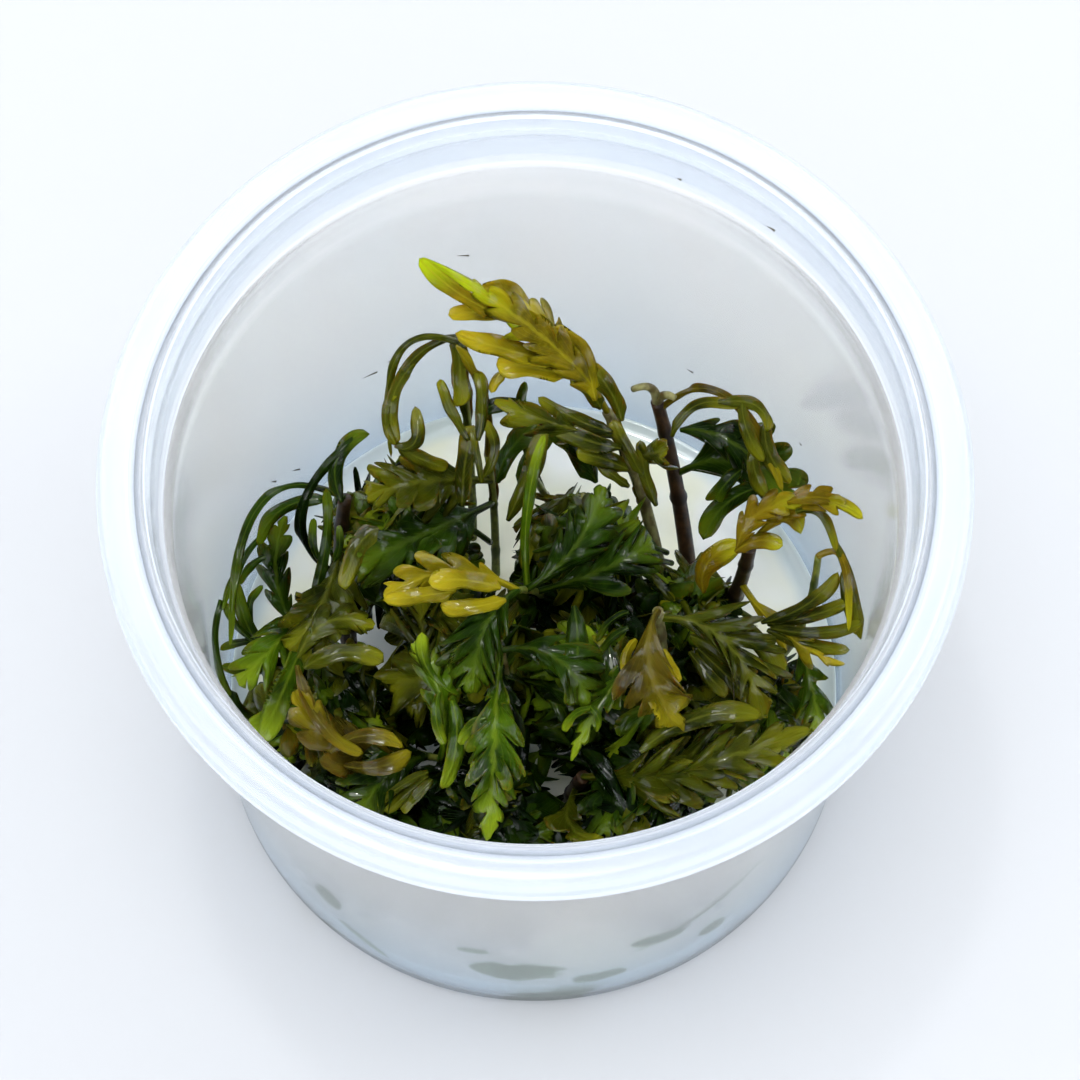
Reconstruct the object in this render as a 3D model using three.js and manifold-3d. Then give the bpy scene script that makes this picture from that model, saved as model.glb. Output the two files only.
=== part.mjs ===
// Plantlets of a feather-leaved stem plant growing in a round culture jar.
// Millimetres, +Z up. The origin is the centre of the jar's foot, and the near side of the jar is -Y.
import * as THREE from "three";
import { mergeVertices } from "three/addons/utils/BufferGeometryUtils.js";
import Module from "manifold-3d";

const wasm = await Module();
wasm.setup();

// Jar: outer and inner sizes of the shell, from the foot to the lip.
const LIP_RADIUS = 48;
const LIP_TOP = 81;
const MOUTH_RADIUS = 42.5;
const LEDGE_RADIUS = 41.3;
const LEDGE_HEIGHT = 72.6;
const FLOOR_RADIUS = 37;
const FLOOR_TOP = 2.2;
const FOOT_RADIUS = 37.5;
const HEEL_RADIUS = 39.5;
const JAR_SIDES = 36;

// Jelly: a shallow bed with a low meniscus, held clear of the shell all round.
const GEL_TOP = 8;
const GEL_RADIUS = 38.1;
const GEL_SIDES = 24;

// Plants: stems and leaves.
const STEM_RADIUS = 0.8;
const STEM_SIDES = 6;
const STEM_STEPS = 6;
const LEAF_HALF_THICKNESS = 0.42;
const LEAF_GAP = 0.75;
const LEAF_FACING = new THREE.Vector3(0, -0.35, 0.94);
const LEAF_SWEEP = 0.55;
const LEAF_DROOP = 0.22;
const PETIOLE = 0.14;
const TUFT_LOBES = 5;
const TUFT_GAP = 0.4;
const STEM_CLEARANCE = 0.35;

const PLASTIC = { color: 0xe9f0f4, roughness: 0.3, metalness: 0 };
const JELLY = { color: 0xeeeed2, roughness: 0.08, metalness: 0 };
const BARK = {
  olive: 0x5f5a34,
  dark: 0x2c230c,
  green: 0x4c5e22,
};
const BLADE = {
  lime: 0xaabc2f,
  gold: 0x9f9923,
  orange: 0x8c7a24,
  brown: 0x5e5518,
  olive: 0x5d6119,
  green: 0x4a5e22,
  bright: 0x7fa040,
  deep: 0x293f0c,
};

const model = new THREE.Group();

function add(name, geometry, look) {
  const mesh = new THREE.Mesh(geometry, new THREE.MeshStandardMaterial(look));
  mesh.name = name;
  model.add(mesh);
  return mesh;
}

function turned(points, sides) {
  const profile = points.map(([r, z]) => new THREE.Vector2(r, z));
  return new THREE.LatheGeometry(profile, sides).rotateX(Math.PI / 2);
}

// Jar shell: foot ring, tapering wall, shoulder, rolled lip, groove, collar, ledge and floor.
const shell = [
  [0, 1],
  [33, 1],
  [34.5, 0],
  [FOOT_RADIUS, 0],
  [38.8, 0.6],
  [HEEL_RADIUS, 1.8],
  [41.6, 70],
  [42.4, 71.5],
  [43.2, 77],
  [45, 77.4],
  [47.4, 77.2],
  [LIP_RADIUS, 77.8],
  [LIP_RADIUS, 79.6],
  [47.3, 80.6],
  [46.2, LIP_TOP],
  [45, LIP_TOP],
  [44.2, 80.4],
  [43.4, 80.4],
  [42.9, LIP_TOP],
  [MOUTH_RADIUS, LIP_TOP],
  [41.6, 74],
  [LEDGE_RADIUS, LEDGE_HEIGHT],
  [40.6, 72],
  [38.3, 3.4],
  [FLOOR_RADIUS, FLOOR_TOP],
  [0, FLOOR_TOP],
];
add("cup", turned(shell, JAR_SIDES), PLASTIC);

const bed = [
  [0, FLOOR_TOP + 0.3],
  [36.6, FLOOR_TOP + 0.3],
  [37.8, 3.9],
  [GEL_RADIUS, GEL_TOP + 0.7],
  [37.2, GEL_TOP + 0.2],
  [35.5, GEL_TOP],
  [0, GEL_TOP],
];
add("gel", turned(bed, GEL_SIDES), JELLY);

// Stems: foot just above the jelly, the point that the stem bends towards, and head.
const STEM_FOOT = GEL_TOP + 0.4;
const stems = {
  tall: { foot: [16.5, 11.5], bend: [14, 19, 28], head: [8.5, 24, 40], bark: "olive" },
  dark: { foot: [20, 11.5], bend: [18, 20, 26], head: [14.5, 25, 41], bark: "dark" },
  left: { foot: [-23, 3.5], bend: [-25, 9, 22], head: [-23, 14, 36], bark: "dark" },
  antler: { foot: [-5, 15], bend: [-5, 20, 24], head: [-6, 21.5, 32], bark: "green" },
  hook: { foot: [-8, 20], bend: [-8, 27, 30], head: [-9.5, 28.5, 50], bark: "green" },
  centre: { foot: [3, 9.5], bend: [1, 6, 28], head: [-2, 0.5, 41], bark: "green" },
  front_left: { foot: [-17, -8.5], bend: [-15, -13, 20], head: [-11, -17, 30], bark: "green" },
  front: { foot: [-2, -5], bend: [-3.5, -7, 26], head: [-4, -6, 38], bark: "olive" },
  low: { foot: [4, -16], bend: [5, -18, 20], head: [6, -19, 30], bark: "dark" },
  right: { foot: [23, 8], bend: [25, 5, 26], head: [25.5, 6, 42], bark: "dark" },
  front_right: { foot: [16.5, -5], bend: [16, -6, 28], head: [14.5, -3, 44], bark: "olive" },
  back: { foot: [3, 22], bend: [1, 20, 24], head: [-0.5, 17, 37], bark: "green" },
  edge: { foot: [30, 3], bend: [33.5, 0, 26], head: [33.5, 4.5, 43], bark: "green" },
};

function stemSection(radius) {
  const corners = [];
  for (let i = 0; i < STEM_SIDES; i += 1) {
    const turn = (i / STEM_SIDES) * 2 * Math.PI;
    corners.push(new THREE.Vector2(radius * Math.cos(turn), radius * Math.sin(turn)));
  }
  return new THREE.Shape(corners);
}

const stemPath = {};
for (const [name, { foot, bend, head, bark }] of Object.entries(stems)) {
  const path = new THREE.QuadraticBezierCurve3(
    new THREE.Vector3(foot[0], foot[1], STEM_FOOT),
    new THREE.Vector3(...bend),
    new THREE.Vector3(...head),
  );
  const tube = new THREE.ExtrudeGeometry(stemSection(STEM_RADIUS), {
    steps: STEM_STEPS,
    extrudePath: path,
  });
  stemPath[name] = path;
  add(`stem_${name}`, tube, { color: BARK[bark], roughness: 0.5, metalness: 0 });
}

// Outline of a pinnate blade: lobes that stand on a narrow web beside the midrib.
function bladeWidth(along, lobes) {
  const overall = 0.12 + 0.88 * Math.sin(Math.PI * along ** 0.8) ** 0.75;
  const lobe = Math.abs(Math.sin(Math.PI * lobes * along)) ** 0.7;
  return overall * (0.24 + 0.76 * lobe);
}

// A leaf grows from a stem at a share of its height, arches past `bend` and ends at `tip`.
function leafGeometry({ stem, at, bend, tip, half, lobes, turn }) {
  const root = stemPath[stem].getPoint(at);
  const towards = new THREE.Vector3(...bend);
  const away = towards.clone().sub(root).normalize();
  const base = root.addScaledVector(away, STEM_RADIUS + LEAF_GAP);
  const end = new THREE.Vector3(...tip);
  const midrib = new THREE.QuadraticBezierCurve3(base, towards, end);
  const chord = end.clone().sub(base);
  const across = chord.clone().cross(LEAF_FACING).normalize();

  const rows = lobes * 3 + 1;
  const geometry = new THREE.CylinderGeometry(1, 1, 1, 4, rows);
  const position = geometry.getAttribute("position");
  const point = new THREE.Vector3();
  for (let i = 0; i < position.count; i += 1) {
    point.fromBufferAttribute(position, i);
    const row = Math.round((point.y + 0.5) * rows);
    const along = Math.max(0, row - 1) / (rows - 1);
    const t = row === 0 ? 0 : PETIOLE + (1 - PETIOLE) * along;
    const edge = Math.abs(point.x) < 0.5 ? 0 : Math.sign(point.x);
    const face = Math.abs(point.z) < 0.5 ? 0 : Math.sign(point.z);
    const width = row === 0 ? 0.5 : Math.max(0.35, half * bladeWidth(along, lobes));
    const thick = LEAF_HALF_THICKNESS * (1 - 0.5 * t);
    const forward = midrib.getTangent(t);
    const side = across.clone().addScaledVector(forward, -across.dot(forward)).normalize();
    side.applyAxisAngle(forward, THREE.MathUtils.degToRad(turn));
    const up = side.clone().cross(forward);
    const lean = row === 0 ? 0 : LEAF_SWEEP * width;
    midrib.getPoint(t, point);
    point.addScaledVector(side, edge * width);
    point.addScaledVector(forward, Math.abs(edge) * lean);
    point.addScaledVector(up, face * thick - Math.abs(edge) * LEAF_DROOP * width);
    position.setXYZ(i, point.x, point.y, point.z);
  }
  return geometry;
}

const leaves = {
  tall: ["tall", 1, [4, 25.5, 58], [-13.5, 33, 64], 4.6, 7, 0, "gold"],
  hook: ["hook", 1, [-19.5, 29, 58], [-17.5, 18.5, 38], 3, 5, 0, "olive"],
  antler: ["antler", 1, [-5, 25, 44], [-9.5, 26, 55], 3, 4, 0, "brown"],
  finger: ["back", 0.55, [-3, 26, 32], [-1.5, 27, 42], 2, 2, 0, "green"],
  cane: ["left", 0.5, [-34, 9, 40], [-21, 19.5, 43], 2.6, 5, 0, "deep"],
  far_left: ["left", 1, [-37, 20, 39], [-36, -6, 38], 2.6, 8, 0, "green"],
  peak: ["back", 0.9, [1, 27, 44], [7, 17, 37], 4, 4, 0, "deep"],
  strip: ["centre", 0.8, [-2, 10, 44], [1, 18, 47], 2.4, 5, 0, "bright"],
  loop: ["dark", 0.95, [23, 28, 52], [29.5, 13.5, 41], 2.2, 7, 0, "brown"],
  rib: ["dark", 0.6, [25, 22, 38], [31, 14, 36], 5, 5, 0, "green"],
  orange: ["right", 1, [31, 11, 52], [37.5, 6, 53], 3.2, 5, 0, "orange"],
  lacy: ["edge", 1, [37.5, 6, 47], [37, -4.5, 42], 1.8, 6, 0, "orange"],
  fan: ["right", 0.65, [29, -6, 40], [37, -6.5, 36], 4, 4, 0, "gold"],
  gold: ["centre", 1, [-10, 2, 50], [-17.5, -2.5, 46], 4, 5, 0, "gold"],
  twist: ["front_left", 1, [-9, -14, 44], [-14, -8, 46], 3, 5, 0, "bright"],
  front: ["front", 1, [-4.5, -23, 51], [-5, -29, 37], 3.8, 7, 0, "bright"],
  olive_left: ["left", 0.7, [-24, -2, 42], [-29, -6, 37], 4.8, 6, 0, "olive"],
  curl: ["front_left", 0.6, [-23, -22, 40], [-28, -12, 40], 3.6, 5, 0, "brown"],
  bright_left: ["left", 0.5, [-31, -8, 42], [-35, -10, 37], 3.6, 5, 0, "bright"],
  brown: ["front_right", 1, [11, -12, 54], [17, -16.5, 40], 5.2, 5, 0, "brown"],
  thin: ["front_right", 0.8, [8, -12, 44], [4.5, -19, 36], 1.8, 6, 0, "bright"],
  grey: ["front_right", 0.95, [24, -4, 46], [27, -14, 38], 4.8, 6, 0, "olive"],
  olive_front: ["low", 1, [17, -23, 42], [32.5, -15.5, 38], 4.6, 7, 0, "olive"],
  lobes: ["low", 0.75, [2, -28, 34], [9, -29, 36], 2.6, 4, 0, "olive"],
  bright_right: ["edge", 0.4, [34, -9, 30], [34, -14, 33], 3, 4, 0, "bright"],
  mid_1: ["antler", 0.7, [-13, 14, 44], [-20, 12, 42], 4.6, 6, 0, "olive"],
  mid_2: ["antler", 0.5, [-14, 5, 46], [-22, 2.5, 43], 4.8, 6, 0, "green"],
  mid_3: ["centre", 1, [-7, -6, 50], [-7, -13, 43], 4.6, 6, 0, "green"],
  mid_4: ["centre", 0.85, [6, 4, 44], [8, 13.5, 42], 4.4, 5, 0, "green"],
  mid_5: ["centre", 0.6, [10, 3, 42], [14, 8, 38], 4.2, 5, 0, "green"],
  mid_6: ["front", 1, [4, -8, 48], [6.5, -14, 42], 4, 5, 0, "green"],
  low_2: ["front_left", 0.8, [-18, -20, 36], [-20, -25, 34], 4.2, 5, 0, "green"],
  low_3: ["front", 0.85, [-4, -13, 40], [-5, -22, 35], 4.2, 5, 0, "deep"],
  tall_right: ["tall", 0.7, [14, 18, 42], [15.5, 16, 47], 2.6, 4, 0, "olive"],
  tall_left: ["tall", 0.85, [4, 18, 47], [-5, 21, 50], 2.8, 4, 0, "olive"],
};
for (const [name, row] of Object.entries(leaves)) {
  const [stem, at, bend, tip, half, lobes, turn, blade] = row;
  const geometry = leafGeometry({ stem, at, bend, tip, half, lobes, turn });
  add(`leaf_${name}`, geometry, { color: BLADE[blade], roughness: 0.4, metalness: 0 });
}

// Low tufts of young leaves between the stems: lobed cushions resting just above the jelly,
// each cut clear of the stems that stand in it.
const tufts = {
  left: [-25, -9, 11.5, 22],
  back_left: [-16.5, 13, 10.5, 26],
  middle: [-9, -3, 12.5, 27],
  corner: [-20, -22, 8.5, 22],
  front_left: [-5.5, -24, 11.5, 25],
  centre: [8, -7, 12.5, 27],
  front_right: [13.8, -23, 10.6, 26],
  right: [27, -9, 9.5, 20],
  back: [6, 11, 10.5, 23],
  stem_side: [18, 3, 8, 21],
};

function solidOf(geometry) {
  const bare = geometry.clone();
  bare.deleteAttribute("normal");
  bare.deleteAttribute("uv");
  const merged = mergeVertices(bare, 1e-3);
  const vertProperties = merged.getAttribute("position").array;
  const triVerts = new Uint32Array(merged.getIndex().array);
  return new wasm.Manifold(new wasm.Mesh({ numProp: 3, vertProperties, triVerts }));
}

function geometryOf(solid) {
  const { vertProperties, triVerts } = solid.getMesh();
  const geometry = new THREE.BufferGeometry();
  geometry.setAttribute("position", new THREE.Float32BufferAttribute(vertProperties, 3));
  geometry.setIndex(Array.from(triVerts));
  geometry.computeVertexNormals();
  return geometry;
}

function cushion(x, y, radius, height) {
  const geometry = new THREE.SphereGeometry(1, 10, 6);
  const position = geometry.getAttribute("position");
  const point = new THREE.Vector3();
  for (let i = 0; i < position.count; i += 1) {
    point.fromBufferAttribute(position, i);
    const lobed = 0.91 + 0.09 * Math.cos(TUFT_LOBES * Math.atan2(point.x, point.z));
    const upright = STEM_FOOT + (point.y + 1) * 0.5 * height;
    position.setXYZ(i, x + point.z * radius * lobed, y + point.x * radius * lobed, upright);
  }
  return solidOf(geometry);
}

const grown = [];
for (const [name, [x, y, radius, height]] of Object.entries(tufts)) {
  let solid = cushion(x, y, radius, height);
  for (const [nearX, nearY, nearRadius, nearHeight] of grown) {
    if (Math.hypot(nearX - x, nearY - y) > nearRadius + radius) continue;
    solid = solid.subtract(cushion(nearX, nearY, nearRadius + TUFT_GAP, nearHeight));
  }
  grown.push([x, y, radius, height]);
  for (const path of Object.values(stemPath)) {
    const foot = path.getPoint(0);
    if (Math.hypot(foot.x - x, foot.y - y) > 2 * radius) continue;
    const core = new THREE.ExtrudeGeometry(stemSection(STEM_RADIUS + STEM_CLEARANCE), {
      steps: STEM_STEPS,
      extrudePath: path,
    });
    solid = solid.subtract(solidOf(core));
  }
  add(`tuft_${name}`, geometryOf(solid), { color: BLADE.deep, roughness: 0.5, metalness: 0 });
}

export default model;
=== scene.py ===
import bmesh
import bpy
import math
import random
from mathutils import Matrix, Vector, noise


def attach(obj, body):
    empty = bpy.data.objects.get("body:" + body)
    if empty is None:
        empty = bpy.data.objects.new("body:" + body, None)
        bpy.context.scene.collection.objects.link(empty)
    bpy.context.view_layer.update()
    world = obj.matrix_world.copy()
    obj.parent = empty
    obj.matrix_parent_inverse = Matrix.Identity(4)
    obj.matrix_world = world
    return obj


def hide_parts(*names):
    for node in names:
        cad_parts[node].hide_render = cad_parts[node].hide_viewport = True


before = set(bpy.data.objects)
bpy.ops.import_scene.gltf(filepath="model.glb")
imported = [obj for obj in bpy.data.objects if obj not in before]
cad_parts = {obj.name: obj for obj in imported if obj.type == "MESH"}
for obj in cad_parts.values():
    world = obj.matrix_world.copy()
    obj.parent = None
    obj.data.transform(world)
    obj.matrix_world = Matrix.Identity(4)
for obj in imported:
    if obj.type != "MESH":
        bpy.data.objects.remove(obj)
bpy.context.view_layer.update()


# Camera. It looks down into the open jar from the near side, from half a
# metre away, so that the far wall shows above the plants.
view = bpy.data.cameras.new("view")
view.lens = 131.1
view.sensor_width = 36
view.clip_start = 0.01
watcher = bpy.data.objects.new("view", view)
bpy.context.collection.objects.link(watcher)
EYE = Vector((0.00058, -0.16038, 0.47778))
AIM = Matrix.Rotation(math.pi / 2 - 1.205, 4, "X") @ Matrix.Rotation(0.011, 4, "Z")
watcher.matrix_world = Matrix.Translation(EYE) @ AIM
bpy.context.scene.camera = watcher
PICTURE = 1080
MM = 0.001


def seen(place, height):
    """The point at a height in mm that shows at a place in the picture."""
    across, down = place
    depth = PICTURE * view.lens / view.sensor_width
    ray = AIM.to_3x3() @ Vector((across - PICTURE / 2, PICTURE / 2 - down, -depth))
    return EYE + ray * ((height * MM - EYE.z) / ray.z)


# Table. A white board under the jar, broad enough to fill the view, with a
# faint cool tint and no grain that shows from here.
class Term:
    """A socket that can stand in a sum."""

    def __init__(self, tree, socket):
        self.tree = tree
        self.socket = socket

    def maths(self, operation, *values):
        node = self.tree.nodes.new("ShaderNodeMath")
        node.operation = operation
        for slot, value in zip(node.inputs, values):
            if isinstance(value, Term):
                self.tree.links.new(value.socket, slot)
            else:
                slot.default_value = value
        return Term(self.tree, node.outputs[0])

    def __add__(self, other):
        return self.maths("ADD", self, other)

    def __sub__(self, other):
        return self.maths("SUBTRACT", self, other)

    def __mul__(self, other):
        return self.maths("MULTIPLY", self, other)

    def __truediv__(self, other):
        return self.maths("DIVIDE", self, other)

    def __pow__(self, other):
        return self.maths("POWER", self, other)

    def __radd__(self, other):
        return self.maths("ADD", other, self)

    def __rsub__(self, other):
        return self.maths("SUBTRACT", other, self)

    def __abs__(self):
        return self.maths("ABSOLUTE", self)

    def repeat(self):
        return self.maths("FRACT", self)

    def ramp(self, low, high):
        """0 below low and 1 above high, and smooth between."""
        node = self.tree.nodes.new("ShaderNodeMapRange")
        node.interpolation_type = "SMOOTHSTEP"
        self.tree.links.new(self.socket, node.inputs["Value"])
        node.inputs["From Min"].default_value = low
        node.inputs["From Max"].default_value = high
        return Term(self.tree, node.outputs[0])


def shade(red, green, blue):
    """A colour as a screen shows it, from 0 to 255, as the light it stands for."""
    parts = []
    for value in (red, green, blue):
        value /= 255
        parts.append(value / 12.92 if value < 0.04045 else ((value + 0.055) / 1.055) ** 2.4)
    return (*parts, 1)


class Finish:
    """A material with one Principled shader, whose fixed values are given by name."""

    def __init__(self, name, **fixed):
        self.material = bpy.data.materials.new(name)
        self.material.use_nodes = True
        self.tree = self.material.node_tree
        self.shader = self.tree.nodes["Principled BSDF"]
        for socket, value in fixed.items():
            self.shader.inputs[socket.replace("_", " ")].default_value = value

    def node(self, kind, settings=None, output=0, **values):
        made = self.tree.nodes.new("ShaderNode" + kind)
        for name, value in (settings or {}).items():
            setattr(made, name, value)
        for name, value in values.items():
            # A name such as _6 is the number of a socket whose name isn't its own.
            slot = made.inputs[int(name[1:]) if name[1:].isdigit() else name.replace("_", " ")]
            if isinstance(value, Term):
                self.tree.links.new(value.socket, slot)
            else:
                slot.default_value = value
        return Term(self.tree, made.outputs[output])

    def place(self):
        return self.node("TexCoord", output=3)

    def spots(self, size, detail=2.0, roughness=0.5, stretch=(1, 1, 1)):
        """Soft noise with blots of about this size in metres."""
        where = self.node("Mapping", Vector=self.place(), Scale=stretch)
        return self.node("TexNoise", Vector=where, Scale=1 / size, Detail=detail, Roughness=roughness)

    def blend(self, amount, first, second):
        return self.node("Mix", {"data_type": "RGBA"}, output=2, _0=amount, _6=first, _7=second)

    def feed(self, **links):
        for name, value in links.items():
            self.tree.links.new(value.socket, self.shader.inputs[name.replace("_", " ")])

    def relief(self, height, distance, strength):
        self.feed(Normal=self.node("Bump", Height=height, Distance=distance, Strength=strength))


def lay(name, mesh, *finishes):
    """Puts a finished mesh in the scene at the origin."""
    shape = bpy.data.meshes.new(name)
    mesh.to_mesh(shape)
    mesh.free()
    for finish in finishes:
        shape.materials.append(finish.material)
    for face in shape.polygons:
        face.use_smooth = True
    piece = bpy.data.objects.new(name, shape)
    bpy.context.collection.objects.link(piece)
    return piece


board = Finish("white_board", Roughness=0.6, Specular_IOR_Level=0.25)
board.feed(Base_Color=board.blend(board.spots(0.3), shade(184, 187, 190), shade(187, 189, 192)))
mesh = bmesh.new()
bmesh.ops.create_grid(mesh, x_segments=4, y_segments=4, size=1.2)
bmesh.ops.translate(mesh, verts=mesh.verts, vec=(0, 0, -0.0004))
lay("table", mesh, board)


# Jar. One injection-moulded shell of milky polypropylene: a foot ring, a
# rounded heel, a thin wall that widens upwards, a collar and a rolled lip.
def spun(points, steps):
    """Turns a closed profile of (radius, height) points, or one that ends on the axis."""
    made = bmesh.new()
    corners = [made.verts.new((radius, 0, height)) for radius, height in points]
    for first, second in zip(corners, corners[1:]):
        made.edges.new((first, second))
    bmesh.ops.spin(
        made,
        geom=made.verts[:] + made.edges[:],
        axis=(0, 0, 1),
        cent=(0, 0, 0),
        steps=steps,
        angle=2 * math.pi,
        use_merge=True,
    )
    bmesh.ops.remove_doubles(made, verts=made.verts, dist=1e-6)
    bmesh.ops.recalc_face_normals(made, faces=made.faces)
    return made


def rounded(radius, height, size, start, end, steps):
    """Points on a small arc of a profile, by its angles in degrees from outwards."""
    made = []
    for step in range(steps + 1):
        turn = math.radians(start + (end - start) * step / steps)
        made.append((radius + size * math.cos(turn), height + size * math.sin(turn)))
    return made


def inner_wall(height):
    """The jar's inside radius at a height."""
    return 0.0384 + 0.0338 * (height - 0.0039)


LIP = 0.048
COLLAR = 0.0722
profile = [(0, 0.0010), (0.015, 0.0010), (0.0325, 0.0010)]
profile += rounded(0.0345, 0.0010, 0.0010, 200, 270, 4)
profile += [(0.0368, 0.0)]
profile += rounded(0.0372, 0.0021, 0.0021, 275, 355, 8)
for step in range(13):
    share = step / 12
    profile.append((0.0393 + 0.0023 * share, 0.0022 + 0.0675 * share))
profile += rounded(0.0430, 0.0702, 0.0012, 180, 120, 4)
profile += [(0.0431, 0.0725), (0.0433, 0.0765)]
profile += rounded(0.0440, 0.0766, 0.0007, 180, 90, 4)
profile += rounded(0.0466, 0.0785, 0.0014, 270, 360, 6)
profile += rounded(LIP - 0.0022, 0.0788, 0.0022, 10, 90, 9)
profile += rounded(0.0450, 0.0801, 0.0009, 90, 160, 5)
profile += rounded(0.0437, 0.0806, 0.0002, 260, 280, 2)
profile += rounded(0.0428, 0.0807, 0.0003, 40, 180, 5)
for step in range(5):
    share = step / 4
    profile.append((0.0424 - 0.0009 * share, 0.0795 - 0.0062 * share))
profile += rounded(0.0410, 0.0727, 0.0004, 20, -60, 4)
for step in range(17):
    share = step / 16
    profile.append((0.0406 - 0.0023 * share, 0.0719 - 0.0680 * share))
profile += rounded(0.0368, 0.0037, 0.0015, 0, -90, 6)
profile += [(0.030, 0.0022), (0.015, 0.0022), (0, 0.0022)]

milky = Finish(
    "milky_polypropylene",
    IOR=1.49,
    Transmission_Weight=0.92,
    Specular_IOR_Level=0.3,
)
haze = milky.spots(0.012, 3, 0.6, (1, 1, 0.35))
height = milky.node("SeparateXYZ", output=2, Vector=milky.place())
# Painted shade: the plastic is tinted darker and bluer towards its foot, standing for the shade at the
# heel.
foot = 1 - height.ramp(0.001, 0.05)
blots = milky.spots(0.011, 1, 0.4, (1, 1, 1.6))
stain = blots.ramp(0.62, 0.68) * (1 - height.ramp(0.004, 0.01))
east = milky.node("SeparateXYZ", Vector=milky.place())
north = milky.node("SeparateXYZ", output=1, Vector=milky.place())
degrees = north.maths("ARCTAN2", north, east) * (180 / math.pi)
ragged = milky.spots(0.004, 2) - 0.5
# Bits of old leaf stick to the near wall. Each mark has its place round the
# wall in degrees, its height in mm, half its width in degrees, half its height
# in mm, and how far it climbs in each degree.
for place, level, reach, rise, climb in (
    (-92, 17, 8.5, 4.5, 0),
    (-78, 12, 5, 2.2, 0),
    (-67, 23, 5.5, 2.4, -0.2),
    (-60, 26, 12, 0.8, 0.5),
    (-56, 14, 3, 2.4, 0),
    (-128, 21, 3, 4, 0),
    (-122, 10, 5, 1.2, -0.5),
    (-100, 26, 3, 0.9, 0.1),
):
    aside = (degrees - place) / reach
    above = (height * (1 / MM) - level - (degrees - place) * climb) / rise
    mark = 1 - (aside**2 + above**2 + ragged * 2).ramp(0.75, 1.05)
    stain = mark.maths("MAXIMUM", mark, stain)
plastic = milky.blend(haze.ramp(0.35, 0.7), shade(252, 254, 255), shade(255, 255, 255))
# Painted shade at the foot: the plastic blends towards a darker blue low on the jar.
plastic = milky.blend(foot * 0.8, plastic, shade(216, 234, 248))
milky.feed(
    Base_Color=milky.blend(stain, plastic, shade(152, 170, 160)),
    Roughness=0.2 + haze * 0.06,
)
milky.relief(milky.spots(0.02, 0), 0.0004, 0.2)
lip = Finish("thick_milky_polypropylene", IOR=1.49, Transmission_Weight=0.76)
haze = lip.spots(0.012, 3, 0.6)
lip.feed(
    Base_Color=lip.blend(haze, shade(230, 239, 249), shade(241, 246, 253)),
    Roughness=0.16 + haze * 0.08,
)
mesh = spun(profile, 192)
for face in mesh.faces:
    face.material_index = int(face.calc_center_median().z > COLLAR)
jar = lay("jar", mesh, milky, lip)
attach(jar, "root")
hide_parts("cup")


# Growing jelly. Cloudy cream agar, poured in warm about 6 mm deep and set, so
# it creeps up the wall a little all round and its skin stays wet.
bed = [(0, 0.0025), (0.018, 0.0025), (0.0364, 0.0025)]
bed += rounded(0.0364, 0.0038, 0.0013, -90, -5, 5)
bed += [(0.0380, 0.0070), (0.0381, 0.0086)]
for step in range(9):
    share = step / 8
    bed.append((0.0380 - 0.0030 * share, 0.0080 + 0.0007 * (1 - share) ** 3))
bed += [(0.025, 0.0080), (0.012, 0.0080), (0, 0.0080)]
jelly = Finish(
    "set_jelly",
    IOR=1.34,
    Transmission_Weight=0.05,
    Roughness=0.06,
    Coat_Weight=0.4,
    Coat_Roughness=0.04,
)
cloud = jelly.spots(0.016, 2)
east = jelly.node("SeparateXYZ", Vector=jelly.place())
north = jelly.node("SeparateXYZ", output=1, Vector=jelly.place())
# Painted reflection: a pale blue ring where the jelly meets the wall stands for light reflected at the
# wet rim.
painted_rim_reflection = ((east**2 + north**2) ** 0.5).ramp(0.0345, 0.0368)
agar = jelly.blend(cloud.ramp(0.4, 0.62), shade(254, 255, 250), shade(250, 249, 222))
jelly.feed(Base_Color=jelly.blend(painted_rim_reflection * 0.6, agar, shade(206, 226, 236)))
jelly.relief(jelly.spots(0.006, 2), 0.0004, 0.4)
gel = lay("growing_jelly", spun(bed, 160), jelly)
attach(gel, "root")
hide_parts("gel")


# Stems. Round, fleshy shoots that stand in the jelly, with a ring at each
# pair of leaves: some greyed olive, some green, some nearly black with red.
# Sizes and places of stems, leaves and tufts are in mm. A stem's curve starts
# at the height FOOT, and the stem itself is sunk a little deeper, in the jelly.
GIRTH = {"olive": 0.88, "dark": 1.08, "green": 0.56}
FOOT = 8.4
SUNK = 1.2
# Each stem: where its foot stands, the point it is drawn towards, its head and
# its bark.
STEMS = {
    "tall": ((16.5, 11.5), (14, 19, 28), (8.5, 24, 40), "olive"),
    "dark": ((20, 11.5), (18, 20, 26), (14.5, 25, 41), "dark"),
    "left": ((-23, 3.5), (-25, 9, 22), (-23, 14, 36), "dark"),
    "antler": ((-5, 15), (-5, 20, 24), (-6, 21.5, 32), "green"),
    "hook": ((-8, 20), (-8, 27, 30), (-9.5, 28.5, 50), "green"),
    "centre": ((3, 9.5), (1, 6, 28), (-2, 0.5, 41), "green"),
    "front_left": ((-17, -8.5), (-15, -13, 20), (-11, -17, 30), "green"),
    "front": ((-2, -5), (-3.5, -7, 26), (-4, -6, 38), "olive"),
    "low": ((4, -16), (5, -18, 20), (6, -19, 30), "dark"),
    "right": ((23, 8), (25, 5, 26), (25.5, 6, 42), "dark"),
    "front_right": ((16.5, -5), (16, -6, 28), (14.5, -3, 44), "olive"),
    "back": ((3, 22), (1, 20, 24), (-0.5, 17, 37), "green"),
    "edge": ((30, 3), (33.5, 0, 26), (33.5, 4.5, 43), "green"),
}


SWELLING = 0.22
SWELLING_REACH = 0.07


class Path:
    """A curve from start, drawn towards bend, to end."""

    def __init__(self, start, bend, end):
        self.start = Vector(start)
        self.bend = Vector(bend)
        self.end = Vector(end)

    def point(self, t):
        return self.start * (1 - t) ** 2 + self.bend * (2 * t * (1 - t)) + self.end * t * t

    def forward(self, t):
        return ((self.bend - self.start) * (1 - t) + (self.end - self.bend) * t).normalized()


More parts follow.
